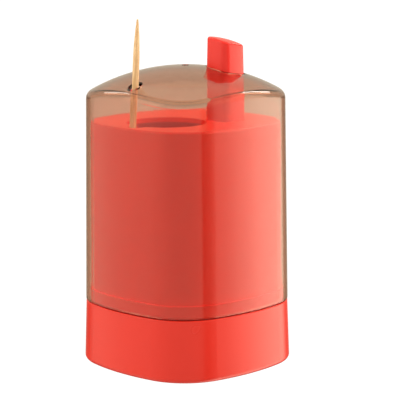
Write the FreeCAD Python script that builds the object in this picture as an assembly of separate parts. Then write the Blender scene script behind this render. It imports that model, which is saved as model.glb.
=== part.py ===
"""A push-button toothpick dispenser: rounded-square base, clear dome cover, inner hopper and a lever that lifts one pick.

Millimetres, +Z up. The origin is on the surface it stands on, below the middle of the body.
The flat sides of the body face along X and Y. The dispensing hole is on the -X side.
The button stands on the +X -Y diagonal. The lever swings in the upright plane that holds both.
"""
import FreeCAD, Part
import math
import os

V = FreeCAD.Vector
UP = V(0, 0, 1)

# Cutters run this far past what they cut, and fused pieces sink this far into each other
beyond = 200.0
past = 1.0
merge = 0.5

# Body outline: a square with bulging sides and round corners
body_half_width = 32.0
side_radius = 75.0
corner_radius = 20.0

# Feet and base
foot_radius = 4.5
foot_height = 1.4
foot_inset = 9.5
foot_recess = 0.5
base_bottom = 0.4
base_height = 21.2
base_top_inset = 0.75
base_wall = 2.4
base_bottom_fillet = 1.7
base_top_fillet = 0.45
plate_thickness = 2.0
plate_gap = 0.2
plate_width_step = 0.9
collar_height = 4.5
collar_wall = 1.5

# Clear cover
cover_seat_gap = 0.5
cover_wall = 1.3
cover_inset = 0.64
cover_taper = 0.0144
cover_fit = 0.25
cover_height = 80.4
dome_radius = 66.5
shoulder_fillet = 3.2

# Hopper
hopper_gap = 0.45
hopper_wall = 1.3
hopper_draft = 0.4
hopper_height = 61.8
deck_thickness = 1.6
deck_fillet = 0.9
well_y = -0.4
well_hole_step = 2.4
well_button_step = 7.2
well_wall = 1.2
well_bottom_gap = 0.3
magazine_gap = 0.15
shoulder_thickness = 2.2
spigot_wall = 1.3
spigot_gap = 0.2
post_inset = 12.1
post_radius = 2.9
post_height = 14.0

# Toothpick and the hole it comes out of
pick_length = 65.0
pick_radius = 1.08
pick_point_radius = 0.28
pick_taper = 13.0
pick_lean = 0.052
pick_proud = 16.8
hole_inset = 7.2
hole_y = -2.4
hole_radius = 2.4
hole_depth = 8.0

# Push button
button_inset = 22.5
button_half_width = 5.25
button_side_radius = 30.0
button_corner_radius = 2.6
button_draft = 0.3
button_proud = 9.6
button_crown_radius = 29.0
button_crown_shift = 6.6
button_fillet = 0.8
button_wall = 1.3
plug_neck = 4.6
button_gap = 0.3
cover_button_gap = 0.55
button_stop_depth = 18.5
stop_gap = 0.15
button_travel = 7.5
stop_lug_size = 2.2
stop_lug_width = 4.0
sleeve_wall = 1.2
nose_radius = 3.0
plug_depth = 8.0
plug_gap = 0.05

# Lever, pins and slider
lever_pivot_reach = 11.5
lever_half_height = 2.6
lever_thickness = 2.4
hub_radius = 4.0
hub_width = 4.4
pivot_pin_radius = 1.5
pivot_running_gap = 0.05
fork_slot_gap = 0.35
fork_prong = 1.3
fork_reach = 0.8
contact_gap = 0.1
spring_pad_radius = 4.2
spring_pad_thickness = 1.4
pin_shift = 0.9
pin_below_pick = 8.0
slider_pin_radius = 0.8
slider_width = 6.0
slider_inboard = 2.4
slider_slit = 2.9
slider_head_clear = 3.7
slider_foot = 2.5
slider_wall_gap = 0.35
slider_side_gap = 0.2
cup_radius = 0.75
cup_depth = 1.3
seat_gap = 0.15
rib_depth = 0.9
rib_width = 1.1
rib_gap = 0.2
rib_shift = 2.0
rib_rise = 3.5
channel_wall = 1.2
channel_inboard = 3.6
channel_mouth = 6.0
channel_foot_gap = 0.4
notch_gap = 0.55
notch_length = 8.0

# Chassis: floor, lever housing, bearing ears and spring post
flange_depth = 11.0
flange_thickness = 1.6
flange_gap = 0.2
floor_rise = 3.8
floor_slope = math.radians(15.0)
floor_thickness = 1.5
floor_gap = 0.3
floor_wall = 1.2
fin_cavity = 3.6
fin_wall = 0.9
fin_clear = 0.6
housing_near = 17.4
housing_far_gap = 3.4
ear_thickness = 2.0
ear_gap = 0.25
ear_half_width = 4.0
boss_radius = 2.9
spring_radius = 3.2
spring_wire = 0.35
spring_seat_height = 1.2
spring_post_height = 4.0
spring_post_gap = 0.35
spring_seat_rim = 1.2
post_chamfer = 0.6
spring_end_gap = 0.15

# Screws
screw_radius = 1.3
screw_length = 17.0
screw_head_radius = 2.5
screw_head_height = 1.5
screw_gap = 0.15
screw_recess = 0.2

# Sizes that follow from those above
base_top = base_bottom + base_height
collar_top = base_top + collar_height
dome_apex = base_top + cover_height
dome_centre = dome_apex - dome_radius
deck_top = base_top + hopper_height
deck_bottom = deck_top - deck_thickness
well_bottom = base_top + well_bottom_gap
floor_low = base_top + floor_rise
flange_bottom = base_top - flange_depth
button_stop = deck_top - button_stop_depth
foot_ring = body_half_width - foot_inset
post_offset = body_half_width - post_inset
button_x = body_half_width - button_inset
button_y = -button_x
hole_x = hole_inset - body_half_width
hole_height = dome_centre + math.sqrt(dome_radius ** 2 - hole_x ** 2 - hole_y ** 2)
pick_tip_height = dome_apex + pick_proud
cover_bottom = base_top + cover_seat_gap
plate_bottom = base_bottom + 0.6
plate_top = plate_bottom + plate_thickness
flange_top = flange_bottom + flange_thickness
cover_half_width = body_half_width - cover_inset
collar_half_width = cover_half_width - cover_wall - cover_fit
spigot_half = collar_half_width - collar_wall - spigot_gap
shoulder_top = collar_top + shoulder_thickness
channel_half = slider_width / 2 + slider_side_gap
fin_outer_half = fin_cavity / 2 + fin_wall
pick_tail_height = pick_tip_height - pick_length * math.cos(math.atan(pick_lean))
pin_height = pick_tail_height - pin_below_pick

# The well is a circle that starts beside the dispensing hole and stops short of the button
well_left = hole_x + well_hole_step
well_dx = button_x - well_left
well_dy = button_y - well_y
well_radius = (well_dx ** 2 + well_dy ** 2 - well_button_step ** 2) / (2 * (well_dx + well_button_step))
well_x = well_left + well_radius

# The lever's plane: e1 runs from the dispensing hole to the button, e2 crosses it
reach = math.hypot(button_x - hole_x, button_y - hole_y)
e1 = V((button_x - hole_x) / reach, (button_y - hole_y) / reach, 0)
e2 = V(-e1.y, e1.x, 0)
hole_point = V(hole_x, hole_y, 0)
well_point = V(well_x, well_y, 0)
button_point = V(button_x, button_y, 0)
pivot_point = button_point + e1 * lever_pivot_reach
pin_point = hole_point + e1 * pin_shift
pin_distance = (pivot_point - pin_point).Length
lift = button_travel * pin_distance / lever_pivot_reach
pivot_height = pin_height - lift / 2
lever_angle = math.atan(lift / 2 / pin_distance)
nose_offset = (lever_half_height + nose_radius + contact_gap) / math.cos(lever_angle)
nose_height = pivot_height + lever_pivot_reach * math.tan(lever_angle) + nose_offset
button_bottom = nose_height + plug_neck
plane_angle = math.degrees(math.atan2(e1.y, e1.x))


def arc(centre, radius, start, end, z):
    """An arc in the plane at height z, from one angle to another, in radians."""
    points = []
    for t in (start, (start + end) / 2, end):
        points.append(V(centre[0] + radius * math.cos(t), centre[1] + radius * math.sin(t), z))
    return Part.Arc(*points).toShape()


def rounded_square(half, side, corner, z, x=0.0, y=0.0):
    """A closed wire of four bulging sides and four round corners that run smoothly into each other."""
    side_centre = half - side
    b = -2 * side_centre
    c = side_centre ** 2 - (side - corner) ** 2
    corner_centre = (-b + math.sqrt(b * b - 8 * c)) / 4
    half_angle = math.atan2(corner_centre, corner_centre - side_centre)
    edges = []
    for quarter in range(4):
        turn = quarter * math.pi / 2
        side_point = (x + side_centre * math.cos(turn), y + side_centre * math.sin(turn))
        edges.append(arc(side_point, side, turn - half_angle, turn + half_angle, z))
        diagonal = corner_centre * math.sqrt(2)
        middle = turn + math.pi / 4
        corner_point = (x + diagonal * math.cos(middle), y + diagonal * math.sin(middle))
        edges.append(arc(corner_point, corner, turn + half_angle, turn + math.pi / 2 - half_angle, z))
    return Part.Wire(edges)


def body_wire(half, z):
    """The body's outline moved inwards to a given half width, at height z."""
    inset = body_half_width - half
    return rounded_square(half, side_radius - inset, corner_radius - inset, z)


def body_prism(half_low, z_low, half_high, z_high):
    """A solid with the body's outline at both heights."""
    return Part.makeLoft([body_wire(half_low, z_low), body_wire(half_high, z_high)], True, True)


def button_prism(grow, z_low, z_high, draft=0.0):
    """A solid with the button's outline, grown by a gap, that narrows upwards by the draft."""
    wires = []
    for z, less in ((z_low, 0.0), (z_high, draft)):
        change = grow - less
        wires.append(rounded_square(button_half_width + change, button_side_radius + change,
                                    button_corner_radius + change, z, button_x, button_y))
    return Part.makeLoft(wires, True, True)


def cylinder(radius, z_low, z_high, x=0.0, y=0.0):
    return Part.makeCylinder(radius, z_high - z_low, V(x, y, z_low), UP)


def plane_box(origin, along_low, along_high, half_across, z_low, z_high):
    """A box whose sides follow the lever's plane, measured from a point on that plane."""
    box = Part.makeBox(along_high - along_low, 2 * half_across, z_high - z_low,
                       V(along_low, -half_across, z_low))
    box.rotate(V(0, 0, 0), UP, plane_angle)
    box.translate(V(origin.x, origin.y, 0))
    return box


def plane_profile(points, half_across, origin):
    """Extrudes a polygon of (along, height) points across the lever's plane."""
    corners = [V(a, -half_across, h) for a, h in points]
    face = Part.Face(Part.makePolygon(corners + [corners[0]]))
    solid = face.extrude(V(0, 2 * half_across, 0))
    solid.rotate(V(0, 0, 0), UP, plane_angle)
    solid.translate(V(origin.x, origin.y, 0))
    return solid


def fuse(first, *others):
    shape = first
    for other in others:
        shape = shape.fuse(other)
    return shape.removeSplitter()


def edges_near(shape, z, tolerance=0.05):
    """The edges that lie wholly at one height."""
    found = []
    for edge in shape.Edges:
        box = edge.BoundBox
        if abs(box.ZMin - z) < tolerance and abs(box.ZMax - z) < tolerance:
            found.append(edge)
    return found


def outer_edges(shape, z, least):
    """The edges at one height whose points all lie at least this far from the axis."""
    kept = []
    for edge in edges_near(shape, z):
        points = edge.discretize(5)
        if all(math.hypot(p.x, p.y) > least for p in points):
            kept.append(edge)
    return kept


def corners(offset):
    return [(sx * offset, sy * offset) for sx in (1, -1) for sy in (1, -1)]


def base_housing():
    """The red outer shell of the base, with the collar that the cover slides over."""
    top_half = body_half_width - base_top_inset
    shell = body_prism(body_half_width, base_bottom, top_half, base_top)
    shell = shell.makeFillet(base_bottom_fillet, outer_edges(shell, base_bottom, body_half_width - 1))
    shell = shell.makeFillet(base_top_fillet, outer_edges(shell, base_top, top_half - 1))
    collar = body_prism(collar_half_width, base_top - 1.0, collar_half_width, collar_top)
    shell = shell.fuse(collar)
    inner_half = body_half_width - base_wall
    collar_inner = collar_half_width - collar_wall
    room = body_prism(inner_half, plate_top, inner_half - base_top_inset, base_top - base_wall)
    plate_room = body_prism(inner_half + plate_width_step + plate_gap, base_bottom - 1,
                            inner_half + plate_width_step + plate_gap, plate_top)
    mouth = body_prism(collar_inner, base_top - base_wall - 1, collar_inner, collar_top + 1)
    return shell.cut(room).cut(plate_room).cut(mouth)


def base_plate():
    """The bottom closing plate, with recessed pads for the feet and countersunk screw holes."""
    half = body_half_width - base_wall + plate_width_step
    plate = body_prism(half, plate_bottom, half, plate_top)
    for x, y in foot_places():
        plate = plate.cut(cylinder(foot_radius + 0.1, plate_bottom - 1, plate_bottom + foot_recess, x, y))
    for x, y in corners(post_offset):
        plate = plate.cut(cylinder(screw_radius + screw_gap, plate_bottom - 1, plate_top + 1, x, y))
        head_top = plate_bottom + screw_recess + screw_head_height
        plate = plate.cut(cylinder(screw_head_radius + screw_gap, plate_bottom - 1, head_top, x, y))
    return plate


def foot_places():
    return [(-foot_ring, 0), (foot_ring, 0), (0, -foot_ring), (0, foot_ring)]


def foot(x, y):
    """A soft round pad that stands just below the base's rim."""
    pad = cylinder(foot_radius, 0, plate_bottom + foot_recess, x, y)
    return pad.makeFillet(0.35, edges_near(pad, 0))


def screw(x, y):
    """A pan-head screw that goes up through the plate and the chassis into the hopper's post."""
    head_low = plate_bottom + screw_recess
    head = cylinder(screw_head_radius, head_low, head_low + screw_head_height, x, y)
    head = head.makeFillet(0.5, edges_near(head, head_low))
    slot = Part.makeBox(2 * screw_head_radius, 0.7, 0.7, V(x - screw_head_radius, y - 0.35, head_low))
    cross = Part.makeBox(0.7, 2 * screw_head_radius, 0.7, V(x - 0.35, y - screw_head_radius, head_low))
    shank_top = head_low + screw_length
    shank = cylinder(screw_radius, head_low, shank_top - 1.2, x, y)
    point = Part.makeCone(screw_radius, 0.3, 1.2, V(x, y, shank_top - 1.2), UP)
    limit = cylinder(1.7, head_low, head_low + 0.7, x, y)
    drive = slot.fuse(cross).common(limit)
    return head.fuse(shank).fuse(point).cut(drive)


def cover_half(z, wall=0.0):
    return cover_half_width - cover_taper * (z - cover_bottom) - wall


def cover_form(wall, z_low):
    """The cover's outer form, or its hollow when a wall is given: a tapered prism under a ball's top."""
    z_high = dome_apex + 2
    prism = body_prism(cover_half(z_low, wall), z_low, cover_half(z_high, wall), z_high)
    ball = Part.makeSphere(dome_radius - wall, V(0, 0, dome_apex - dome_radius))
    form = prism.common(ball)
    rim = []
    for edge in form.Edges:
        box = edge.BoundBox
        if box.ZMin > dome_apex - 15 and box.ZMax < dome_apex - wall - 3:
            rim.append(edge)
    return form.makeFillet(shoulder_fillet - wall, rim)


def cover():
    """The smoky clear dome, open below, with the dispensing hole and the button's opening."""
    shell = cover_form(0.0, cover_bottom)
    hollow = cover_form(cover_wall, cover_bottom - 1)
    shell = shell.cut(hollow)
    shell = shell.cut(cylinder(hole_radius, hole_height - hole_depth, hole_height + hole_depth, hole_x, hole_y))
    return shell.cut(button_prism(cover_button_gap, dome_apex - 10, dome_apex + 5))


def hopper_half(z):
    low, high = collar_top, deck_top
    top_half = cover_half(deck_top, cover_wall) - hopper_gap
    return top_half + hopper_draft * (high - z) / (high - low)


def hopper():
    """The red inner container: outer skin, top deck with the well's mouth, spigot and screw posts."""
    low_half, top_half = hopper_half(collar_top), hopper_half(deck_top)
    skin = body_prism(low_half, collar_top, top_half, deck_top)
    skin = skin.makeFillet(deck_fillet, outer_edges(skin, deck_top, top_half - past))
    inside = body_prism(low_half - hopper_wall, shoulder_top, top_half - hopper_wall, deck_bottom)
    spigot = body_prism(spigot_half, flange_top, spigot_half, collar_top + merge)
    spigot_room = body_prism(spigot_half - spigot_wall, flange_top - past,
                             spigot_half - spigot_wall, shoulder_top + past)
    shell = skin.cut(inside).fuse(spigot).cut(spigot_room)
    post_limit = body_prism(spigot_half, flange_top, spigot_half, deck_top)
    for x, y in corners(post_offset):
        post = cylinder(post_radius, flange_top, flange_top + post_height, x, y)
        shell = shell.fuse(post.common(post_limit))
    for x, y in corners(post_offset):
        shell = shell.cut(cylinder(screw_radius, flange_top - past, base_top + 2 * merge, x, y))
    shell = shell.cut(cylinder(well_radius, deck_bottom - past, deck_top + past, well_x, well_y))
    wall_line = hopper_half(pick_tail_height) - hopper_wall
    keep = Part.makeBox(beyond, 2 * beyond, 2 * beyond, V(-wall_line, -beyond, -beyond))
    shell = shell.cut(slider_passage().common(keep))
    shell = shell.cut(button_prism(button_gap, well_bottom, deck_top + past))
    return shell.cut(deck_notch()).removeSplitter()


def slider_passage():
    """The straight room in which the slider runs, open toward the outer skin."""
    return plane_box(hole_point, -beyond, channel_mouth, channel_half, flange_top, deck_bottom)


def deck_notch():
    """The notch beside the well's mouth through which the pick rises."""
    middle = deck_top - deck_thickness / 2
    start = hole_point - e1 * (pick_lean * (hole_height - middle))
    half = pick_radius + notch_gap
    notch = plane_box(start, 0, notch_length, half, deck_bottom - past, deck_top + past)
    return notch.fuse(cylinder(half, deck_bottom - past, deck_top + past, start.x, start.y))


def magazine():
    """The moulding below the deck: the round well for the picks, the slider's channel and the button's sleeve."""
    well = cylinder(well_radius + well_wall, well_bottom, deck_bottom, well_x, well_y)
    sleeve = button_prism(button_gap + sleeve_wall, button_stop, deck_bottom)
    channel = plane_box(hole_point, -beyond, channel_inboard, channel_half + channel_wall,
                        flange_top + channel_foot_gap, deck_bottom)
    foot_half = spigot_half - spigot_wall - magazine_gap
    foot_room = body_prism(foot_half, flange_top, foot_half, shoulder_top + magazine_gap)
    room = body_prism(hopper_half(collar_top) - hopper_wall - magazine_gap, shoulder_top + magazine_gap,
                      hopper_half(deck_top) - hopper_wall - magazine_gap, deck_bottom)
    room = room.fuse(foot_room)
    inner = well.fuse(sleeve).fuse(channel).common(room)
    inner = inner.cut(cylinder(well_radius, well_bottom - past, deck_top, well_x, well_y))
    inner = inner.cut(slider_passage())
    rib_place = pin_point - e1 * rib_shift
    rib_half = (rib_depth + merge) / 2
    for side in (1, -1):
        middle = rib_place + e2 * side * (channel_half - rib_depth + rib_half)
        rib = plane_box(middle, -rib_width / 2, rib_width / 2, rib_half,
                        flange_top + channel_foot_gap, pick_tail_height + rib_rise)
        inner = inner.fuse(rib.common(room))
    inner = inner.cut(button_prism(button_gap, well_bottom - past, deck_top))
    near, middle = housing_near - past, (pivot_point - well_point).dot(e1)
    opening = [(-near, well_bottom - past), (-middle, well_bottom - past),
               (-middle, fin_top(middle) + floor_gap), (-near, fin_top(near) + floor_gap)]
    housing = plane_profile(opening, fin_outer_half + floor_gap, pivot_point)
    return inner.cut(housing).removeSplitter()


def lever_line(distance):
    """The height of the lever's middle line at rest, at a level distance from its pivot."""
    return pivot_height + distance * math.tan(lever_angle)


def fin_top(distance):
    """The height of the lever housing's roof at a level distance from the pivot."""
    return lever_line(distance) + lever_half_height / math.cos(lever_angle) + fin_clear + fin_wall


def well_floor():
    """The well's sloping floor, which runs the picks to the slider, with the lever's housing across it."""
    drum_radius = well_radius - floor_gap
    run = beyond
    rise = run * math.tan(floor_slope)
    middle = floor_low + drum_radius * math.tan(floor_slope)
    below = [(-run, 0), (run, 0), (run, middle + rise), (-run, middle - rise)]
    under = [(a, h - floor_thickness if h else 0) for a, h in below]
    below = plane_profile([below[0], below[1], below[2], below[3]], beyond, well_point)
    under = plane_profile(under, beyond, well_point)
    drum = cylinder(drum_radius, flange_top, deck_top, well_x, well_y).common(below)
    drum_room = cylinder(drum_radius - floor_wall, flange_top - past, deck_top, well_x, well_y)
    drum = drum.cut(drum_room.common(under))

    near, far = housing_near, pin_distance - housing_far_gap
    outside = [(-near, flange_top), (-far, flange_top), (-far, fin_top(far)), (-near, fin_top(near))]
    fin = plane_profile(outside, fin_outer_half, pivot_point)
    near, far = near - past, far + past
    inside = [(-near, flange_top - past), (-far, flange_top - past),
              (-far, fin_top(far) - fin_wall), (-near, fin_top(near) - fin_wall)]
    cavity = plane_profile(inside, fin_cavity / 2, pivot_point)

    floor = drum.fuse(fin).cut(cavity)
    slider_room = plane_box(pin_point, -beyond, slider_inboard + floor_gap * 2, channel_half + slider_wall_gap,
                            flange_top - past, deck_top)
    channel_room = plane_box(hole_point, -beyond, channel_inboard + floor_gap,
                             channel_half + channel_wall + floor_gap, flange_top - past, deck_top)
    return floor.cut(slider_room).cut(channel_room).removeSplitter()


def chassis():
    """The inner frame: flange, the lever's bearing ears, spring post and screw bosses."""
    frame = body_prism(spigot_half, flange_bottom, spigot_half, flange_top)
    for side in (1, -1):
        place = pivot_point + e2 * side * (hub_width / 2 + ear_gap + ear_thickness / 2)
        ear = plane_box(place, -ear_half_width, ear_half_width, ear_thickness / 2,
                        flange_top - merge, pivot_height)
        top = Part.makeCylinder(ear_half_width, ear_thickness, V(0, 0, 0), e2)
        top.translate(place - e2 * (ear_thickness / 2) + UP * pivot_height)
        frame = frame.fuse(ear).fuse(top)
    bore = Part.makeCylinder(pivot_pin_radius, beyond, pivot_point - e2 * (beyond / 2) + UP * pivot_height, e2)
    frame = frame.cut(bore)
    seat_top = flange_top + spring_seat_height
    post_top = seat_top + spring_post_height
    seat = cylinder(spring_radius + spring_seat_rim, flange_top - merge, seat_top, button_x, button_y)
    core = spring_radius - spring_wire - spring_post_gap
    post = cylinder(core, flange_top, post_top, button_x, button_y)
    frame = frame.fuse(seat).fuse(post.makeChamfer(post_chamfer, edges_near(post, post_top)))
    for x, y in corners(post_offset):
        frame = frame.fuse(cylinder(boss_radius, plate_top, flange_bottom + merge, x, y))
    for x, y in corners(post_offset):
        frame = frame.cut(cylinder(screw_radius + screw_gap, plate_top - past, flange_top + past, x, y))
    return frame.removeSplitter()


def pivot_pin():
    """The steel pin that the lever turns on, pressed into both ears."""
    half = hub_width / 2 + ear_gap + ear_thickness
    pin = Part.makeCylinder(pivot_pin_radius, 2 * half, pivot_point - e2 * half + UP * pivot_height, e2)
    return pin.makeChamfer(0.25, pin.Edges[0:1] + pin.Edges[2:3])


def return_spring():
    """The spring under the lever, as the plain sleeve that its turns fill when the button is up."""
    low = flange_top + spring_seat_height
    pad = lever_half_height + spring_pad_thickness
    high = lever_line(lever_pivot_reach) - pad / math.cos(lever_angle)
    high -= spring_pad_radius * math.tan(lever_angle) + spring_end_gap
    sleeve = cylinder(spring_radius + spring_wire, low, high, button_x, button_y)
    return sleeve.cut(cylinder(spring_radius - spring_wire, low - past, high + past, button_x, button_y))


def push_button():
    """The red button: a hollow column whose crowned top stands above the dome."""
    crest = dome_apex + button_proud
    column = button_prism(0.0, button_bottom, dome_apex - 1)
    head = button_prism(0.0, dome_apex - 1, crest + 3, button_draft)
    body = column.fuse(head).removeSplitter()
    diagonal = V(math.cos(math.radians(-45)), math.sin(math.radians(-45)), 0)
    centre = diagonal * button_crown_shift + UP * (crest - button_crown_radius)
    crown = Part.makeSphere(button_crown_radius, centre)
    keep = crown.fuse(cylinder(30, 0, crest - 12)).removeSplitter()
    body = body.common(keep)
    rim = []
    for edge in body.Edges:
        box = edge.BoundBox
        if box.ZMin > crest - 8 and box.ZMax - box.ZMin < 3.5:
            rim.append(edge)
    body = body.makeFillet(button_fillet, rim)
    body = body.cut(button_prism(-button_wall, button_bottom - 1, crest - 6))
    lug_top = button_stop - stop_gap
    reach_out = button_half_width + stop_lug_size - 0.6
    lug_x = Part.makeBox(stop_lug_size, stop_lug_width, stop_lug_size,
                         V(button_x + reach_out - stop_lug_size, button_y - stop_lug_width / 2,
                           lug_top - stop_lug_size))
    lug_y = Part.makeBox(stop_lug_width, stop_lug_size, stop_lug_size,
                         V(button_x - stop_lug_width / 2, button_y - reach_out, lug_top - stop_lug_size))
    return body.fuse(lug_x).fuse(lug_y).removeSplitter()


def thrust_plug():
    """The plug in the button's foot, whose round nose presses on the lever."""
    nose = Part.makeSphere(nose_radius, V(button_x, button_y, nose_height))
    stem = cylinder(nose_radius, nose_height, button_bottom + past, button_x, button_y)
    inside = button_prism(-button_wall - plug_gap, button_bottom, button_bottom + plug_depth)
    cap = button_prism(-0.1, button_bottom - 1.2, button_bottom)
    return nose.fuse(stem).fuse(inside).fuse(cap).removeSplitter()


def lever_arm():
    """The lever at rest: hub, arm, spring pad, and a forked end round the slider's pin."""
    tip_distance = pin_distance / math.cos(lever_angle)
    fork_end = tip_distance + fork_reach
    fork_half = slider_pin_radius + fork_slot_gap + fork_prong
    root = hub_radius - 0.6
    points = [(0, -root), (0, root), (-lever_pivot_reach, lever_half_height),
              (-fork_end, lever_half_height), (-fork_end, -lever_half_height),
              (-lever_pivot_reach - 6, -lever_half_height)]
    outline = [V(a, -lever_thickness / 2, h) for a, h in points]
    arm = Part.Face(Part.makePolygon(outline + [outline[0]])).extrude(V(0, lever_thickness, 0))
    trim = Part.makeBox(6.5, 10, 10, V(-fork_end - 0.5, -5, fork_half))
    arm = arm.cut(trim)
    slot_half = slider_pin_radius + fork_slot_gap
    slot_start = pin_distance - slider_pin_radius - 0.2
    slot = Part.makeBox(20, 10, 2 * slot_half, V(-slot_start - 20, -5, -slot_half))
    arm = arm.cut(slot)
    hub = Part.makeCylinder(hub_radius, hub_width, V(0, -hub_width / 2, 0), V(0, 1, 0))
    pad_at = lever_pivot_reach / math.cos(lever_angle)
    pad = cylinder(spring_pad_radius, -lever_half_height - spring_pad_thickness, -lever_half_height + 0.4,
                   -pad_at, 0)
    lever = arm.fuse(hub).fuse(pad)
    bore = Part.makeCylinder(pivot_pin_radius + pivot_running_gap, 20, V(0, -10, 0), V(0, 1, 0))
    lever = lever.cut(bore).removeSplitter()
    lever.rotate(V(0, 0, 0), V(0, 1, 0), math.degrees(lever_angle))
    lever.rotate(V(0, 0, 0), UP, plane_angle)
    lever.translate(pivot_point + UP * pivot_height)
    return lever


def lift_slider():
    """The slider that runs in the hopper's channel and carries the pick's tail in a small cup."""
    low = pin_height - slider_foot
    seat = pick_tail_height - seat_gap
    high = seat + cup_depth
    block = plane_box(pin_point, -beyond, slider_inboard, slider_width / 2, low, high)
    face = hopper_half(pick_tail_height) - hopper_wall - slider_wall_gap
    block = block.common(Part.makeBox(beyond, 2 * beyond, beyond, V(-face, -beyond, 0)))
    slit = plane_box(pin_point, -beyond, beyond, slider_slit / 2, low - past, pin_height + slider_head_clear)
    block = block.cut(slit)
    rib_place = pin_point - e1 * rib_shift
    for side in (1, -1):
        groove = plane_box(rib_place + e2 * side * (slider_width / 2 + past),
                           -rib_width / 2 - rib_gap, rib_width / 2 + rib_gap,
                           past + rib_depth - slider_side_gap + rib_gap, low - past, high + past)
        block = block.cut(groove)
    block = block.cut(pin_solid(0.0))
    tail = pick_point(pick_tail_height)
    cup = cylinder(cup_radius, seat, high + past, tail.x, tail.y)
    return block.cut(cup).removeSplitter()


def pin_solid(extra):
    start = pin_point - e2 * (slider_width / 2 - 0.3) + UP * pin_height
    return Part.makeCylinder(slider_pin_radius + extra, slider_width - 0.6, start, e2)


def slider_pin():
    """The small steel pin across the slider that the lever's fork carries."""
    return pin_solid(0.0)


def pick_point(z):
    """A point on the pick's leaning middle line."""
    along = pick_lean * (z - hole_height)
    return V(hole_x + e1.x * along, hole_y + e1.y * along, z)


def toothpick():
    """A round wooden pick with two points, standing in the slider's cup and out through the dome."""
    half = [V(pick_point_radius, 0, 0), V(pick_radius * 0.86, 0, pick_taper * 0.62), V(pick_radius, 0, pick_taper)]
    top = [V(p.x, 0, pick_length - p.z) for p in reversed(half)]
    edges = [
        Part.LineSegment(V(0, 0, 0), half[0]).toShape(),
        Part.Arc(*half).toShape(),
        Part.LineSegment(half[2], top[0]).toShape(),
        Part.Arc(*top).toShape(),
        Part.LineSegment(top[2], V(0, 0, pick_length)).toShape(),
        Part.LineSegment(V(0, 0, pick_length), V(0, 0, 0)).toShape(),
    ]
    solid = Part.Face(Part.Wire(edges)).revolve(V(0, 0, 0), UP, 360)
    solid.rotate(V(0, 0, 0), e2, math.degrees(math.atan(pick_lean)))
    solid.translate(pick_point(pick_tail_height))
    return solid


def main():
    os.makedirs("parts", exist_ok=True)
    pieces = {
        "base_housing": base_housing(),
        "base_plate": base_plate(),
        "base_screws": Part.makeCompound([screw(x, y) for x, y in corners(post_offset)]),
        "hopper": hopper(),
        "magazine": magazine(),
        "well_floor": well_floor(),
        "chassis": chassis(),
        "pivot_pin": pivot_pin(),
        "return_spring": return_spring(),
        "cover": cover(),
        "push_button": push_button(),
        "thrust_plug": thrust_plug(),
        "lever_arm": lever_arm(),
        "lift_slider": lift_slider(),
        "slider_pin": slider_pin(),
        "toothpick": toothpick(),
    }
    for name, (x, y) in zip(("foot_left", "foot_right", "foot_front", "foot_back"), foot_places()):
        pieces[name] = foot(x, y)
    for name, shape in pieces.items():
        shape.exportStep(f"parts/{name}.step")
        box = shape.BoundBox
        print(name, "solids", len(shape.Solids), "valid", shape.isValid(),
              "z %.2f to %.2f" % (box.ZMin, box.ZMax), "volume %.0f" % shape.Volume)
    print("pivot", [round(v, 4) for v in (pivot_point.x, pivot_point.y, pivot_height)],
          "angle", round(math.degrees(lever_angle), 4), "lift", round(lift, 4),
          "cross axis", [round(v, 5) for v in (e2.x, e2.y)], "along", [round(v, 5) for v in (e1.x, e1.y)])


main()
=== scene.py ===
# %% [markdown]
# # A push-button toothpick dispenser
# A red moulded base carries a red hopper under a smoky clear dome. A square button stands out of the
# dome, and a wooden pick stands up through a small round hole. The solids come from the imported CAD
# model. This lesson sets the camera, the light and the finishes, and adds the fine detail that the
# CAD model leaves out: the rings under the pads, the spring's wire and the mark on top of the dome.

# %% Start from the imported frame
import math
import bpy
import bmesh
from mathutils import Vector, Matrix


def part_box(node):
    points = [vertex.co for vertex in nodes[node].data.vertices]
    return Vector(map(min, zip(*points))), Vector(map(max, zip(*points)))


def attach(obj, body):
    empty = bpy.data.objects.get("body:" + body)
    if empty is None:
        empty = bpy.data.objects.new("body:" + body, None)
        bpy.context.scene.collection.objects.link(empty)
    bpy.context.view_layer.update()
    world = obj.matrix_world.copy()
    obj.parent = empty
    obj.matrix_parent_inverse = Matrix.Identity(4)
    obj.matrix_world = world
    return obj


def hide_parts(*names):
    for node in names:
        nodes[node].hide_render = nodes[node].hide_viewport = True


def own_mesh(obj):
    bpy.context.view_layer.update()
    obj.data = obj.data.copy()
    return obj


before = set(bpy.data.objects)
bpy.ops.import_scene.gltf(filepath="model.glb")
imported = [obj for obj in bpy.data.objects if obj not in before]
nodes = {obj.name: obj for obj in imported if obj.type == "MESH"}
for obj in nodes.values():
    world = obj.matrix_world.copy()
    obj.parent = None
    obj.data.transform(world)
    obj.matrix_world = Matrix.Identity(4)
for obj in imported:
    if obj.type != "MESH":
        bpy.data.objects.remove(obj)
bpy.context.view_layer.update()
MM = 0.001

# %% [markdown]
# ## Helpers
# A colour is easiest to pick as a hex value, as screens show it, but a shader counts in linear light,
# so one function converts it. A second function fills the inputs of a node, and a third adds a node
# and fills it. In both, an underscore stands for a space in an input's name, and i0, i1 and so on
# give an input by its number, for nodes whose inputs share a name.

# %% Colour
def linear(hex_colour):
    """Turns an sRGB hex colour to linear red, green and blue, with full alpha."""
    values = [int(hex_colour[i:i + 2], 16) / 255 for i in (0, 2, 4)]
    return tuple(v / 12.92 if v <= 0.04045 else ((v + 0.055) / 1.055) ** 2.4 for v in values) + (1.0,)


print("half grey on a screen is", round(linear("808080")[0], 3), "in linear light")

# %% Nodes and materials
def fill(tree, node, **inputs):
    """Fills a node's inputs, each from a plain value or from another node's output."""
    for name, value in inputs.items():
        key = int(name[1:]) if name[0] == "i" and name[1:].isdigit() else name.replace("_", " ")
        if isinstance(value, bpy.types.NodeSocket):
            tree.links.new(value, node.inputs[key])
        else:
            node.inputs[key].default_value = value


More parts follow.
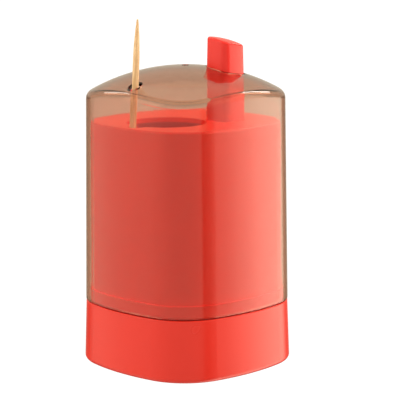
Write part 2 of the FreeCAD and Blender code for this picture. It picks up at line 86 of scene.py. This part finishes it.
def add_node(tree, kind, settings=None, **inputs):
    """Adds a node with its settings, and fills its inputs."""
    node = tree.nodes.new(kind)
    for name, value in (settings or {}).items():
        setattr(node, name, value)
    fill(tree, node, **inputs)
    return node


def new_material(name):
    """Makes a material, and returns it with its node tree and its main shader."""
    material = bpy.data.materials.new(name)
    material.use_nodes = True
    tree = material.node_tree
    return material, tree, tree.nodes["Principled BSDF"]


# %% [markdown]
# ## Camera
# The photograph was taken from a little above, toward one corner of the body, with a long lens that
# keeps upright edges nearly parallel. The camera's place was measured from the corners and heights
# that the picture shows. Its numbers are in a view frame with its origin under the body, x to the
# right and y away from the camera, so that they stay readable, and one function turns them into the
# object's own axes.

# %% Camera place and angles
CAMERA_DISTANCE = 593.9 * MM
CAMERA_HEIGHT = 160.6 * MM
LENS_MM = 158.6
SENSOR_MM = 36
FARTHEST_SEEN = 20
# In radians: how far the camera looks down, aside and tilted, and the view's turn about the body
CAMERA_PITCH = 0.1749
CAMERA_YAW = 0.0079
CAMERA_ROLL = -0.005
OBJECT_TURN = 0.7529


def from_view(x, y, z):
    """Turns a point or direction of the view frame into the object's own axes."""
    c, s = math.cos(OBJECT_TURN), math.sin(OBJECT_TURN)
    return Vector((x * c + y * s, -x * s + y * c, z))


print("the picture's right is toward", [round(v, 3) for v in from_view(1, 0, 0)])

# %% Camera object
def view_axes():
    """The camera's right, up and forward directions, from its pitch, yaw and roll."""
    cp, sp = math.cos(CAMERA_PITCH), math.sin(CAMERA_PITCH)
    cq, sq = math.cos(CAMERA_YAW), math.sin(CAMERA_YAW)
    cr, sr = math.cos(CAMERA_ROLL), math.sin(CAMERA_ROLL)
    right = from_view(cq, -sq, 0)
    forward = from_view(sq * cp, cq * cp, -sp)
    up = from_view(sq * sp, cq * sp, cp)
    return right * cr + up * sr, up * cr - right * sr, forward


def add_camera():
    """Adds the camera and makes it the scene's own."""
    data = bpy.data.cameras.new("camera")
    data.lens = LENS_MM
    data.sensor_width = SENSOR_MM
    data.clip_end = FARTHEST_SEEN
    camera = bpy.data.objects.new("camera", data)
    bpy.context.scene.collection.objects.link(camera)
    right, up, forward = view_axes()
    rotation = Matrix((right, up, -forward)).transposed().to_4x4()
    camera.matrix_world = Matrix.Translation(from_view(0, -CAMERA_DISTANCE, CAMERA_HEIGHT)) @ rotation
    bpy.context.scene.camera = camera
    return camera


camera = add_camera()
print("camera at", [round(v, 3) for v in camera.location])

# %% [markdown]
# ## Surround
# The picture is a product shot on pure white with almost no shadow. Upright gloss walls mirror what
# lies just below the horizon, so that part of the surround decides how they look. White and black
# cards round the object could give it, but a world shader with one brightness for each direction has
# no edges and is quicker to match. It is dim in front, a little brighter to the left, and brightest
# to the right, which gives the salmon right side. A dark gap between front and right gives the purer
# red band beside the near corner, and dark parts behind on both sides give the dark rims.

# %% Brightness of the surround
SURROUND_COLOUR = (1.0, 0.9, 0.72)
SKY_BRIGHTNESS = 0.74
GROUND_PEAK = 3.9
# Heights on a sphere of radius 1 between which the ground's brightness gives way to the sky's
HORIZON = (-0.05, 0.1)
# Degrees from the camera's side, to the right, and the share of the peak that lies in that direction
GROUND_SHARES = (
    (-180, 0.2), (-166, 0.18), (-150, 0.04), (-132, 0.04), (-114, 0.3), (-80, 0.28), (-20, 0.22),
    (34, 0.21), (36, 0.01), (50, 0.04), (62, 0.2), (78, 0.6), (95, 1.0), (114, 1.0), (126, 0.7),
    (136, 0.05), (150, 0.04), (166, 0.18), (180, 0.2),
)


def ground_brightness(tree, toward):
    """The ground's brightness in a direction, read from the angle that it makes round the object."""
    right = add_node(tree, "ShaderNodeVectorMath", {"operation": "DOT_PRODUCT"}, i0=toward,
                     i1=tuple(from_view(1, 0, 0)))
    front = add_node(tree, "ShaderNodeVectorMath", {"operation": "DOT_PRODUCT"}, i0=toward,
                     i1=tuple(from_view(0, -1, 0)))
    turn = add_node(tree, "ShaderNodeMath", {"operation": "ARCTAN2"}, i0=right.outputs["Value"],
                    i1=front.outputs["Value"])
    share = add_node(tree, "ShaderNodeMapRange", Value=turn.outputs["Value"], From_Min=-math.pi,
                     From_Max=math.pi)
    ramp = add_node(tree, "ShaderNodeValToRGB", Fac=share.outputs["Result"])
    stops = ramp.color_ramp.elements
    while len(stops) < len(GROUND_SHARES):
        stops.new(0.5)
    for stop, (degrees, level) in zip(stops, GROUND_SHARES):
        stop.position = (degrees + 180) / 360
        stop.color = (level, level, level, 1)
    ground = add_node(tree, "ShaderNodeMath", {"operation": "MULTIPLY"}, i0=ramp.outputs["Color"],
                      i1=GROUND_PEAK)
    return ground.outputs["Value"]


# %% World with that surround
def add_surround():
    """Adds a world whose sky is even and whose lower half changes with the direction."""
    world = bpy.data.worlds.new("studio")
    world.use_nodes = True
    tree = world.node_tree
    toward = add_node(tree, "ShaderNodeTexCoord").outputs["Generated"]
    height = add_node(tree, "ShaderNodeSeparateXYZ", Vector=toward)
    above = add_node(tree, "ShaderNodeMapRange", {"interpolation_type": "SMOOTHSTEP"},
                     Value=height.outputs["Z"], From_Min=HORIZON[0], From_Max=HORIZON[1])
    level = add_node(tree, "ShaderNodeMix", {"data_type": "FLOAT"}, i0=above.outputs["Result"],
                     i2=ground_brightness(tree, toward), i3=SKY_BRIGHTNESS)
    fill(tree, tree.nodes["Background"], Color=SURROUND_COLOUR + (1,),
         Strength=level.outputs["Result"])
    bpy.context.scene.world = world
    print(world.name, "has", len(GROUND_SHARES), "steps of brightness round the object")


add_surround()

# %% [markdown]
# ## Light panels
# Wide soft panels light the colours themselves, from both sides and from above. They stay out of the
# reflections, because on a clear cover a large bright panel hides what is inside. Two narrow strips
# behind are mirrored, and draw the highlights on the shoulders of the dome. Only the panel above
# casts shadows, as the picture has almost none.

# %% Five panels
WARM_WHITE = (1.0, 0.94, 0.86)
LIGHT_TARGET = Vector((0, 0, 0.055))
# Place in the view frame, width and height in metres, brightness, seen in reflections, casts shadows
PANELS = {
    "softbox_right": ((1.0, -0.12, 0.5), (0.9, 1.0), 4.3, False, False),
    "softbox_left": ((-0.95, -0.30, 0.5), (0.8, 1.0), 3.2, False, False),
    "softbox_above": ((0.0, 0.35, 1.1), (1.4, 1.2), 1.2, False, True),
    "strip_right": ((0.75, 0.62, 0.85), (0.25, 0.45), 9.0, True, False),
    "strip_left": ((-0.75, 0.62, 0.85), (0.25, 0.45), 5.0, True, False),
}


def add_panel(name, place, size, brightness, in_reflections, shadows):
    """Adds a panel aimed at the object. Its power is its brightness times pi times its area."""
    data = bpy.data.lights.new(name, "AREA")
    data.shape = "RECTANGLE"
    data.size, data.size_y = size
    data.energy = brightness * math.pi * size[0] * size[1]
    data.color = WARM_WHITE
    data.use_shadow = shadows
    light = bpy.data.objects.new(name, data)
    light.location = from_view(*place)
    light.rotation_euler = (LIGHT_TARGET - light.location).to_track_quat("-Z", "Y").to_euler()
    light.visible_glossy = in_reflections
    light.visible_camera = False
    bpy.context.scene.collection.objects.link(light)
    print(name, "power", round(data.energy, 3), "W")


for panel_name, settings in PANELS.items():
    add_panel(panel_name, *settings)

# %% [markdown]
# ## Floor
# The object stands on pure white. One glowing sheet would light the object from below much more than
# the picture shows, so there are two. The camera sees the first, a white sweep. The second, just
# under it, lights the object, takes its shadow and is seen through the clear cover. Neither is
# mirrored, so that the surround alone decides the reflections.

# %% Floor in two sheets
SHEET_SIZE = 12
SHEET_ROUGHNESS = 0.9
SWEEP_GLOW, SWEEP_ALBEDO = 1.05, 0.0
TABLE_GLOW, TABLE_ALBEDO = 0.28, 0.4
TABLE_BELOW = 0.2 * MM


def add_sheet(name, height, glow, albedo, for_camera):
    """Adds a pale sheet, either for the camera alone or for everything but the camera."""
    bpy.ops.mesh.primitive_plane_add(size=SHEET_SIZE, location=(0, 0, 0))
    sheet = bpy.context.object
    sheet.name = name
    for vertex in sheet.data.vertices:
        vertex.co.z = height
    material, tree, shader = new_material(name)
    fill(tree, shader, Base_Color=(albedo, albedo, albedo, 1), Roughness=SHEET_ROUGHNESS,
         Emission_Color=(1, 1, 1, 1), Emission_Strength=glow)
    sheet.data.materials.append(material)
    sheet.visible_camera = for_camera
    sheet.visible_diffuse = not for_camera
    sheet.visible_transmission = not for_camera
    sheet.visible_shadow = not for_camera
    sheet.visible_glossy = False
    print(name, "at height mm", round(height / MM, 2), "glow", glow)


add_sheet("white_sweep", 0.0, SWEEP_GLOW, SWEEP_ALBEDO, True)
add_sheet("white_table", -TABLE_BELOW, TABLE_GLOW, TABLE_ALBEDO, False)
bpy.context.scene.view_settings.view_transform = "Standard"

# %% [markdown]
# ## Red moulded plastic
# Base, button and hopper are polystyrene, moulded under pressure in steel moulds. An image could give
# the colour, but moulded plastic is nearly even, and noise at the size of its flow marks is enough.
# The same noise varies colour and gloss a little, and a finer one gives the skin a slight relief. A
# polished mould gives base and button a tight sheen. A plainer one gives the hopper a broad one.

# %% Moulded plastic
FLOW_MARK_MM = 14
SKIN_GRAIN_MM = 0.6
SKIN_RELIEF = 0.1 * MM
COLOUR_SPREAD = 0.04
GLOSS_SPREAD = 0.03
PLASTIC_IOR = 1.5


def moulded_plastic(name, colour, roughness, bump=0.02):
    """Moulded polystyrene: even colour, a soft sheen, and faint flow marks in the skin."""
    material, tree, shader = new_material(name)
    place = add_node(tree, "ShaderNodeTexCoord").outputs["Object"]
    flow = add_node(tree, "ShaderNodeTexNoise", Vector=place, Scale=1 / (FLOW_MARK_MM * MM), Detail=2.0)
    shade = add_node(tree, "ShaderNodeMapRange", Value=flow.outputs["Fac"],
                     To_Min=1 - COLOUR_SPREAD, To_Max=1 + COLOUR_SPREAD)
    tint = add_node(tree, "ShaderNodeMixRGB", {"blend_type": "MULTIPLY"}, Fac=1.0,
                    Color1=linear(colour), Color2=shade.outputs["Result"])
    rough = add_node(tree, "ShaderNodeMapRange", Value=flow.outputs["Fac"],
                     To_Min=roughness - GLOSS_SPREAD, To_Max=roughness + GLOSS_SPREAD)
    skin = add_node(tree, "ShaderNodeTexNoise", Vector=place, Scale=1 / (SKIN_GRAIN_MM * MM))
    relief = add_node(tree, "ShaderNodeBump", Strength=bump, Distance=SKIN_RELIEF,
                      Height=skin.outputs["Fac"])
    fill(tree, shader, Base_Color=tint.outputs["Color"], Roughness=rough.outputs["Result"],
         Normal=relief.outputs["Normal"], IOR=PLASTIC_IOR)
    print(name, "colour", colour, "roughness", roughness)
    return material


# Polystyrene from a polished mould: an even red with a tight, soft-edged sheen
RED_BASE = moulded_plastic("red_moulded_styrene", "D22412", 0.26)
# The same plastic in the button: a little brighter red, and as glossy
RED_BUTTON = moulded_plastic("red_moulded_button", "E0241A", 0.26)
# Polystyrene from a plainer mould: a satin red whose highlights are broad and weak
# Its red is brighter than the base's though it is the same plastic: painted light, making up for the
# light that the cover holds back
RED_HOPPER = moulded_plastic("red_moulded_hopper", "F02719", 0.36, bump=0.003)
# Polystyrene from an unpolished core, as in the well: duller, and painted a deeper red as painted shade
# for the well's recess
RED_WELL_SHADED = moulded_plastic("red_well_painted_shade", "B8161F", 0.45)

# %% [markdown]
# ## Seam and collar
# Cover and base meet at a gap of half a millimetre, which reads as a thin dark red line. A darker red
# painted into the gap gives that line as painted shade. Above it the base goes on as a collar, which is
# seen through the cover and is painted the hopper's brighter red as painted light, to make up for the
# light that the cover holds back. All of that is one solid, so its colour changes with height instead,
# from the same red to the painted shade and then to the hopper's.

# %% Painted shade at the seam and painted light on the collar
SEAM_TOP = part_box("cover")[0].z
SEAM_SHADE = 0.6 * MM
SEAM_BOTTOM = SEAM_TOP - SEAM_SHADE
SEAM_BLEND = 0.06 * MM
# Painted shade: the darker red of the gap between cover and base
PAINTED_SEAM_SHADE = "7E0E09"
# Painted light: the hopper's brighter red on the collar behind the cover, the base's plastic lifted
PAINTED_COLLAR_LIGHT = "F02719"


def finish_above(material, colour, height):
    """Gives everything above a height another colour, with a short blend."""
    tree = material.node_tree
    shader = tree.nodes["Principled BSDF"]
    before = shader.inputs["Base Color"].links[0].from_socket
    place = add_node(tree, "ShaderNodeTexCoord")
    axes = add_node(tree, "ShaderNodeSeparateXYZ", Vector=place.outputs["Object"])
    share = add_node(tree, "ShaderNodeMapRange", Value=axes.outputs["Z"], From_Min=height,
                     From_Max=height + SEAM_BLEND)
    mixed = add_node(tree, "ShaderNodeMixRGB", Fac=share.outputs["Result"], Color1=before,
                     Color2=linear(colour))
    fill(tree, shader, Base_Color=mixed.outputs["Color"])
    print(material.name, "turns to", colour, "above mm", round(height / MM, 2))


finish_above(RED_BASE, PAINTED_SEAM_SHADE, SEAM_BOTTOM)
finish_above(RED_BASE, PAINTED_COLLAR_LIGHT, SEAM_TOP)

# %% [markdown]
# ## Smoky clear cover
# The cover is clear polystyrene with a brown smoke dye all through it. A tinted surface would look
# the same everywhere, but the real wall is darker where the eye looks along it. So the surface is
# colourless and the colour is in the depth: the wall absorbs light, by an amount worked out from its
# thickness and the share of each colour that it lets through.

# %% Smoky clear plastic
WALL_MM = 1.3
# Share of red, green and blue that one wall lets through
WALL_PASSES = (0.78, 0.6, 0.5)
COVER_ROUGHNESS = 0.07
WAVE_MM = 25
WAVE_DEPTH = 0.2 * MM
WAVE_STRENGTH = 0.01
# A density a little above the strongest absorption keeps every part of the tint above zero
DENSITY_MARGIN = 1.1


def smoky_clear(name):
    """Clear moulded polystyrene with a brown smoke tint and a faint wave in its surface."""
    material, tree, shader = new_material(name)
    place = add_node(tree, "ShaderNodeTexCoord")
    flow = add_node(tree, "ShaderNodeTexNoise", Vector=place.outputs["Object"],
                    Scale=1 / (WAVE_MM * MM), Detail=0.0)
    wave = add_node(tree, "ShaderNodeBump", Strength=WAVE_STRENGTH, Distance=WAVE_DEPTH,
                    Height=flow.outputs["Fac"])
    fill(tree, shader, Base_Color=(1, 1, 1, 1), Transmission_Weight=1.0,
         Roughness=COVER_ROUGHNESS, IOR=PLASTIC_IOR, Normal=wave.outputs["Normal"])
    absorbed = [-math.log(share) / (WALL_MM * MM) for share in WALL_PASSES]
    density = max(absorbed) * DENSITY_MARGIN
    tint = tuple(1 - part / density for part in absorbed) + (1.0,)
    depth = add_node(tree, "ShaderNodeVolumeAbsorption", Density=density, Color=tint)
    fill(tree, tree.nodes["Material Output"], Volume=depth.outputs["Volume"])
    print(name, "absorbs per metre", [round(part) for part in absorbed])
    return material


# Smoke-dyed polystyrene from a polished mould: clear, pale brown face on, and dark at its rims
SMOKY = smoky_clear("smoky_clear_styrene")

# %% [markdown]
# ## Birch pick
# The pick is birch, cut along the grain, turned to its points and left bare. Its fibres run along it
# and are far longer than they are wide. Drawn lines would repeat, so noise is stretched to a fibre's
# width and length instead, and colours and slightly lifts the surface.

# %% Birch
# Real fibres are finer than this, and would not show at the render's size
FIBRE_WIDTH = 0.35 * MM
FIBRE_LENGTH = 16 * MM
FIBRE_RELIEF = 0.08 * MM
FIBRE_STRENGTH = 0.25
WOOD_ROUGHNESS = 0.6
# Noise value and colour: darker fibre, then pale wood
WOOD_STOPS = ((0.35, "C29764"), (0.62, "E8C597"))


def birch(name):
    """Bare turned birch: pale, with fine darker fibres that run along the pick."""
    material, tree, shader = new_material(name)
    place = add_node(tree, "ShaderNodeTexCoord")
    stretch = add_node(tree, "ShaderNodeMapping", Vector=place.outputs["Object"],
                       Scale=(1 / FIBRE_WIDTH, 1 / FIBRE_WIDTH, 1 / FIBRE_LENGTH))
    fibre = add_node(tree, "ShaderNodeTexNoise", Vector=stretch.outputs["Vector"], Scale=1.0,
                     Detail=3.0)
    ramp = add_node(tree, "ShaderNodeValToRGB", Fac=fibre.outputs["Fac"])
    for stop, (position, colour) in zip(ramp.color_ramp.elements, WOOD_STOPS):
        stop.position = position
        stop.color = linear(colour)
    relief = add_node(tree, "ShaderNodeBump", Strength=FIBRE_STRENGTH, Distance=FIBRE_RELIEF,
                      Height=fibre.outputs["Fac"])
    fill(tree, shader, Base_Color=ramp.outputs["Color"], Normal=relief.outputs["Normal"],
         Roughness=WOOD_ROUGHNESS)
    print(name, "fibres mm", round(FIBRE_WIDTH / MM, 2), "by", round(FIBRE_LENGTH / MM, 2))
    return material


# Birch, turned and left bare: matt and pale, with soft streaks along its length
WOOD = birch("turned_birch")

# %% [markdown]
# ## Metal, rubber and acetal
# Screws, pins and spring are steel with a thin zinc plating. The pads are moulded rubber, and lever
# and slider are acetal, a slippery plastic. Each has one colour, and what tells them apart is gloss
# and grain, so one function makes all three from a roughness and a grain size.

# %% One finish with a fine grain
GRAIN_RELIEF = 0.05 * MM
GRAIN_SPREAD = 0.06


def grained(name, colour, roughness, grain_mm, bump, metallic=0.0):
    """A finish with one colour, whose fine grain shows in its gloss and as a slight relief."""
    material, tree, shader = new_material(name)
    place = add_node(tree, "ShaderNodeTexCoord")
    grain = add_node(tree, "ShaderNodeTexNoise", Vector=place.outputs["Object"],
                     Scale=1 / (grain_mm * MM), Detail=2.0)
    rough = add_node(tree, "ShaderNodeMapRange", Value=grain.outputs["Fac"],
                     To_Min=roughness - GRAIN_SPREAD, To_Max=roughness + GRAIN_SPREAD)
    relief = add_node(tree, "ShaderNodeBump", Strength=bump, Distance=GRAIN_RELIEF,
                      Height=grain.outputs["Fac"])
    fill(tree, shader, Base_Color=linear(colour), Metallic=metallic,
         Roughness=rough.outputs["Result"], Normal=relief.outputs["Normal"])
    print(name, "grain mm", grain_mm, "roughness", roughness)
    return material


# Zinc-plated steel: a pale grey metal shine, slightly clouded by the plating's crystals
STEEL = grained("zinc_plated_steel", "C9CACB", 0.3, 0.4, 0.1, metallic=1.0)
# Rubber moulded against a blasted face: nearly black, matt and a little rough
RUBBER = grained("black_rubber", "262524", 0.78, 0.25, 0.4)
# Acetal as moulded, without dye: milky white with a waxy sheen
ACETAL = grained("natural_acetal", "E9E4D8", 0.38, 0.8, 0.05)

# %% [markdown]
# ## Finish of each CAD piece
# The CAD solids come without these finishes. One table gives each solid its own, because it shows at
# a glance what every piece is made of, and a name that the model doesn't have stops the script.

# %% Give each CAD node its finish
FINISHES = {
    "base_housing": RED_BASE, "base_plate": RED_HOPPER, "hopper": RED_HOPPER, "magazine": RED_WELL_SHADED,
    "well_floor": RED_WELL_SHADED, "chassis": RED_HOPPER,
    "push_button": RED_BUTTON, "thrust_plug": RED_HOPPER, "cover": SMOKY, "toothpick": WOOD,
    "base_screws": STEEL, "pivot_pin": STEEL, "slider_pin": STEEL, "return_spring": STEEL,
    "lever_arm": ACETAL, "lift_slider": ACETAL,
    "foot_left": RUBBER, "foot_right": RUBBER, "foot_front": RUBBER, "foot_back": RUBBER,
}
for name, material in FINISHES.items():
    for slot in nodes[name].material_slots:
        slot.material = material
    print(name, len(nodes[name].data.polygons), "faces")

# %% [markdown]
# ## Anti-slip pads
# Four soft pads under the base keep it from sliding. Each has two fine raised rings on its sole,
# which grip better than a flat face. They could be turned one by one, but they repeat, so a node tree
# makes one pad and sets it on four points of a circle. Its inputs are the sizes. All but the rings'
# own thickness are read from the CAD pads.

# %% Pad sizes from the frame
pad_low, pad_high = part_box("foot_right")
PAD_RADIUS = (pad_high.y - pad_low.y) / 2
PAD_HEIGHT = pad_high.z - pad_low.z
PAD_RING = (pad_low.x + pad_high.x) / 2
PAD_COUNT = 4
RIB_RADIUS = 0.18 * MM
RIB_COUNT = 2
print("pad radius mm", round(PAD_RADIUS / MM, 2), "height mm", round(PAD_HEIGHT / MM, 2))

# %% Node tree with an input for each size
def sized_tree(name, sizes):
    """Makes a geometry tree with one output and named inputs, and returns it with its input node."""
    tree = bpy.data.node_groups.new(name, "GeometryNodeTree")
    tree.interface.new_socket("Geometry", in_out="OUTPUT", socket_type="NodeSocketGeometry")
    for label, value in sizes.items():
        socket = tree.interface.new_socket(label, in_out="INPUT", socket_type="NodeSocketFloat")
        socket.default_value = value
        print(name, "input", label, round(value, 5))
    return tree, add_node(tree, "NodeGroupInput")


# %% One pad
# Steps round the pad, round each ring and round a ring's section
PAD_STEPS, RING_STEPS, RIB_STEPS = 96, 64, 12


def raised_mesh(tree, mesh, height):
    """Moves a mesh up by the value of a socket."""
    lift = add_node(tree, "ShaderNodeCombineXYZ", Z=height)
    moved = add_node(tree, "GeometryNodeTransform", Geometry=mesh, Translation=lift.outputs["Vector"])
    return moved.outputs["Geometry"]


def pad_disc(tree, size):
    """The pad's disc, from half way up the rings to the pad's top."""
    pad_height, rib_radius = size.outputs["Pad height"], size.outputs["Rib radius"]
    depth = add_node(tree, "ShaderNodeMath", {"operation": "SUBTRACT"}, i0=pad_height, i1=rib_radius)
    both = add_node(tree, "ShaderNodeMath", {"operation": "ADD"}, i0=pad_height, i1=rib_radius)
    middle = add_node(tree, "ShaderNodeMath", {"operation": "MULTIPLY"}, i0=both.outputs[0], i1=0.5)
    disc = add_node(tree, "GeometryNodeMeshCylinder", Vertices=PAD_STEPS,
                    Radius=size.outputs["Pad radius"], Depth=depth.outputs[0])
    return raised_mesh(tree, disc.outputs["Mesh"], middle.outputs[0])


def pad_parts(tree, size):
    """A pad's disc, and the rings under it."""
    parts = [pad_disc(tree, size)]
    for ring in range(RIB_COUNT):
        share = (ring + 1) / (RIB_COUNT + 1)
        reach = add_node(tree, "ShaderNodeMath", {"operation": "MULTIPLY"},
                         i0=size.outputs["Pad radius"], i1=share)
        path = add_node(tree, "GeometryNodeCurvePrimitiveCircle", Resolution=RING_STEPS,
                        Radius=reach.outputs[0])
        rib = add_node(tree, "GeometryNodeCurvePrimitiveCircle", Resolution=RIB_STEPS,
                       Radius=size.outputs["Rib radius"])
        tube = add_node(tree, "GeometryNodeCurveToMesh", Curve=path.outputs["Curve"],
                        Profile_Curve=rib.outputs["Curve"])
        parts.append(raised_mesh(tree, tube.outputs["Mesh"], size.outputs["Rib radius"]))
    return parts


# %% Four pads on a circle
def pad_tree():
    """Joins a pad's parts and sets the pad on the points of a circle."""
    tree, size = sized_tree("anti_slip_pads", {"Pad radius": PAD_RADIUS, "Pad height": PAD_HEIGHT,
                                               "Ring radius": PAD_RING, "Rib radius": RIB_RADIUS})
    joined = add_node(tree, "GeometryNodeJoinGeometry")
    for part in pad_parts(tree, size):
        fill(tree, joined, Geometry=part)
    points = add_node(tree, "GeometryNodeMeshCircle", Vertices=PAD_COUNT,
                      Radius=size.outputs["Ring radius"])
    placed = add_node(tree, "GeometryNodeInstanceOnPoints", Points=points.outputs["Mesh"],
                      Instance=joined.outputs["Geometry"])
    real = add_node(tree, "GeometryNodeRealizeInstances", Geometry=placed.outputs["Instances"])
    finish = add_node(tree, "GeometryNodeSetMaterial", Geometry=real.outputs["Geometry"],
                      Material=RUBBER)
    add_node(tree, "NodeGroupOutput", Geometry=finish.outputs["Geometry"])
    return tree


pad_nodes = pad_tree()
print(pad_nodes.name, "tree has", len(pad_nodes.nodes), "nodes")

# %% Pads as one plain mesh
def bake(name, tree):
    """Evaluates a node tree on an empty mesh and keeps the result as a plain object."""
    holder = bpy.data.objects.new(name + "_holder", bpy.data.meshes.new(name + "_seed"))
    bpy.context.scene.collection.objects.link(holder)
    modifier = holder.modifiers.new("nodes", "NODES")
    modifier.node_group = tree
    graph = bpy.context.evaluated_depsgraph_get()
    mesh = bpy.data.meshes.new_from_object(holder.evaluated_get(graph))
    bpy.data.objects.remove(holder)
    piece = bpy.data.objects.new(name, mesh)
    bpy.context.scene.collection.objects.link(piece)
    print(name, len(mesh.polygons), "faces")
    return piece


anti_slip_pads = bake("anti_slip_pads", pad_nodes)
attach(anti_slip_pads, "body")
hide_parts("foot_left", "foot_right", "foot_front", "foot_back")

# %% [markdown]
# ## Return spring
# A steel compression spring under the lever pushes the button back up. The CAD model holds it as a
# plain sleeve. The wire could be swept along measured points, but its path follows a rule, so a node
# tree winds it: a flat spiral's points rise slowly over the closed turn at each end and evenly
# between, and a round section follows them.

# %% Spring sizes from the frame
spring_low, spring_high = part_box("return_spring")
WIRE_RADIUS = 0.35 * MM
OPEN_TURNS = 6.5
CLOSED_TURNS = 1.0
CLOSED_PITCH = 0.74 * MM
ALL_TURNS = OPEN_TURNS + 2 * CLOSED_TURNS
COIL_RADIUS = (spring_high.x - spring_low.x) / 2 - WIRE_RADIUS
SPRING_LENGTH = spring_high.z - spring_low.z
SPRING_FOOT = ((spring_low.x + spring_high.x) / 2, (spring_low.y + spring_high.y) / 2, spring_low.z)
print("spring length mm", round(SPRING_LENGTH / MM, 2), "coil radius mm", round(COIL_RADIUS / MM, 2))

# %% Height of the wire along its length
def wire_height(tree):
    """Adds up the rise of the closed turn at the foot, the open turns and the one at the top."""
    along = add_node(tree, "GeometryNodeSplineParameter")
    closed = CLOSED_TURNS / ALL_TURNS
    closed_rise = CLOSED_TURNS * CLOSED_PITCH
    open_rise = SPRING_LENGTH - 2 * WIRE_RADIUS - 2 * closed_rise
    print("pitch of the open turns mm", round(open_rise / OPEN_TURNS / MM, 2))
    height = WIRE_RADIUS
    for start, end, rise in ((0, closed, closed_rise), (closed, 1 - closed, open_rise),
                             (1 - closed, 1, closed_rise)):
        step = add_node(tree, "ShaderNodeMapRange", Value=along.outputs["Factor"], From_Min=start,
                        From_Max=end, To_Min=0.0, To_Max=rise)
        height = add_node(tree, "ShaderNodeMath", i0=height, i1=step.outputs["Result"]).outputs[0]
    return height


# %% Node tree for the spring
# Steps along each turn and round the wire
TURN_STEPS, WIRE_STEPS = 48, 16


def spring_tree():
    """Winds a spiral of one radius, raises its points and gives it a round section."""
    tree, size = sized_tree("return_spring", {"Coil radius": COIL_RADIUS, "Wire radius": WIRE_RADIUS,
                                              "Turns": ALL_TURNS})
    spiral = add_node(tree, "GeometryNodeCurveSpiral", Resolution=TURN_STEPS,
                      Rotations=size.outputs["Turns"], Start_Radius=size.outputs["Coil radius"],
                      End_Radius=size.outputs["Coil radius"], Height=0.0)
    lift = add_node(tree, "ShaderNodeCombineXYZ", Z=wire_height(tree))
    raised = add_node(tree, "GeometryNodeSetPosition", Geometry=spiral.outputs["Curve"],
                      Offset=lift.outputs["Vector"])
    section = add_node(tree, "GeometryNodeCurvePrimitiveCircle", Resolution=WIRE_STEPS,
                       Radius=size.outputs["Wire radius"])
    wire = add_node(tree, "GeometryNodeCurveToMesh", Curve=raised.outputs["Geometry"],
                    Profile_Curve=section.outputs["Curve"], Fill_Caps=True)
    placed = add_node(tree, "GeometryNodeTransform", Geometry=wire.outputs["Mesh"],
                      Translation=SPRING_FOOT)
    real = add_node(tree, "GeometryNodeRealizeInstances", Geometry=placed.outputs["Geometry"])
    smooth = add_node(tree, "GeometryNodeSetShadeSmooth", Geometry=real.outputs["Geometry"])
    finish = add_node(tree, "GeometryNodeSetMaterial", Geometry=smooth.outputs["Geometry"],
                      Material=STEEL)
    add_node(tree, "NodeGroupOutput", Geometry=finish.outputs["Geometry"])
    return tree


spring_nodes = spring_tree()
print(spring_nodes.name, "tree has", len(spring_nodes.nodes), "nodes")

# %% Spring as one plain mesh
spring_coil = bake("spring_coil", spring_nodes)
measure = bmesh.new()
measure.from_mesh(spring_coil.data)
print("spring wire volume mm3", round(measure.calc_volume(signed=True) / MM ** 3, 1))
measure.free()
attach(spring_coil, "body")
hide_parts("return_spring")
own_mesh(spring_coil)

# %% [markdown]
# ## Gate mark
# Molten plastic entered the cover's mould at the top of the dome, and the trimmed gate leaves a
# small raised ring with a stub in it. It could be cut into the dome, but a piece laid on top leaves
# the CAD solid as it is. It is round, so a profile turned about an upright axis makes it. Its rim
# ends a little below the dome's top, so that no gap shows.

# %% Gate mark from a turned profile
# Radius and height in millimetres, from the stub's middle out to the rim
GATE_PROFILE_MM = ((0.0, 0.22), (0.28, 0.20), (0.4, 0.05), (0.75, 0.03), (0.85, 0.16), (1.05, 0.16),
                   (1.2, -0.06))
GATE_STEPS = 48


def turned_ring(mesh, radius, height, base, steps):
    """The points of one step of a profile: a single point on the axis, or a ring about it."""
    if radius == 0:
        return [mesh.verts.new(base + Vector((0, 0, height)))]
    angles = [2 * math.pi * step / steps for step in range(steps)]
    return [mesh.verts.new(base + Vector((radius * math.cos(a), radius * math.sin(a), height)))
            for a in angles]


def turned(name, profile, base, steps):
    """Revolves a radius and height profile, in metres, about an upright axis through the base."""
    mesh = bmesh.new()
    rings = [turned_ring(mesh, radius, height, base, steps) for radius, height in profile]
    for inner, outer in zip(rings, rings[1:]):
        for step in range(steps):
            after = (step + 1) % steps
            if len(inner) == 1:
                mesh.faces.new((inner[0], outer[step], outer[after]))
            else:
                mesh.faces.new((inner[step], outer[step], outer[after], inner[after]))
    mesh.faces.new(list(reversed(rings[-1])))
    bmesh.ops.recalc_face_normals(mesh, faces=mesh.faces)
    data = bpy.data.meshes.new(name)
    mesh.to_mesh(data)
    mesh.free()
    for polygon in data.polygons:
        polygon.use_smooth = True
    piece = bpy.data.objects.new(name, data)
    bpy.context.scene.collection.objects.link(piece)
    print(name, len(data.polygons), "faces")
    return piece


# %% Gate mark on top of the dome
dome_top = Vector((0, 0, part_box("cover")[1].z))
gate_profile = [(radius * MM, height * MM) for radius, height in GATE_PROFILE_MM]
gate_mark = turned("gate_mark", gate_profile, dome_top, GATE_STEPS)
gate_mark.data.materials.append(SMOKY)
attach(gate_mark, "cover")
